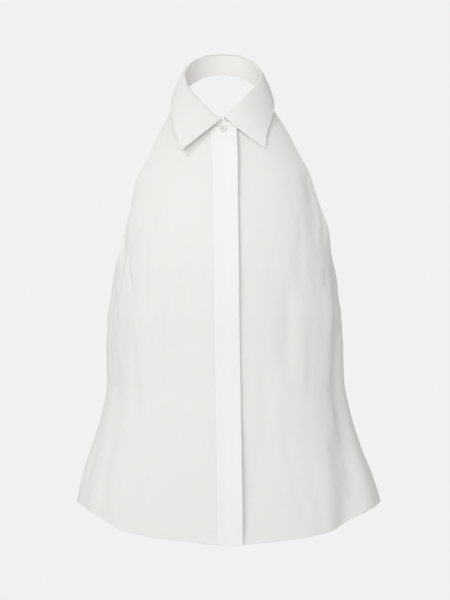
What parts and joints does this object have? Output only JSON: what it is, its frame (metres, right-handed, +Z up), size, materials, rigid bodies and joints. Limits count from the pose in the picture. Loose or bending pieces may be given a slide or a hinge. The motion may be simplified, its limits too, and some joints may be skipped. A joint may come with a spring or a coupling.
{
  "type": "halter neck top",
  "caption": "Sleeveless halter neck shirt with a turn-down collar, concealed front placket, cut-away armholes, low open back and curved hem.",
  "frame": {"origin": "the middle of the ring that the neck passes through", "axes": "+Z up as worn, the front faces -Y, +X towards the wearer's left"},
  "size_m": [0.4397, 0.2235, 0.7066],
  "materials": {
    "cloth": "matt fine off-white shirting with a faint weave",
    "button": "softly polished off-white shirt button"
  },
  "bodies": {
    "root": {"front_right": "cloth", "front_left": "cloth", "back": "cloth", "placket": "cloth", "collar_stand": "cloth", "collar_leaf": "cloth", "collar_button": "button", "fly_button_1": "button", "fly_button_2": "button", "fly_button_3": "button", "fly_button_4": "button", "fly_button_5": "button", "fly_button_6": "button"}
  },
  "joints": []
}
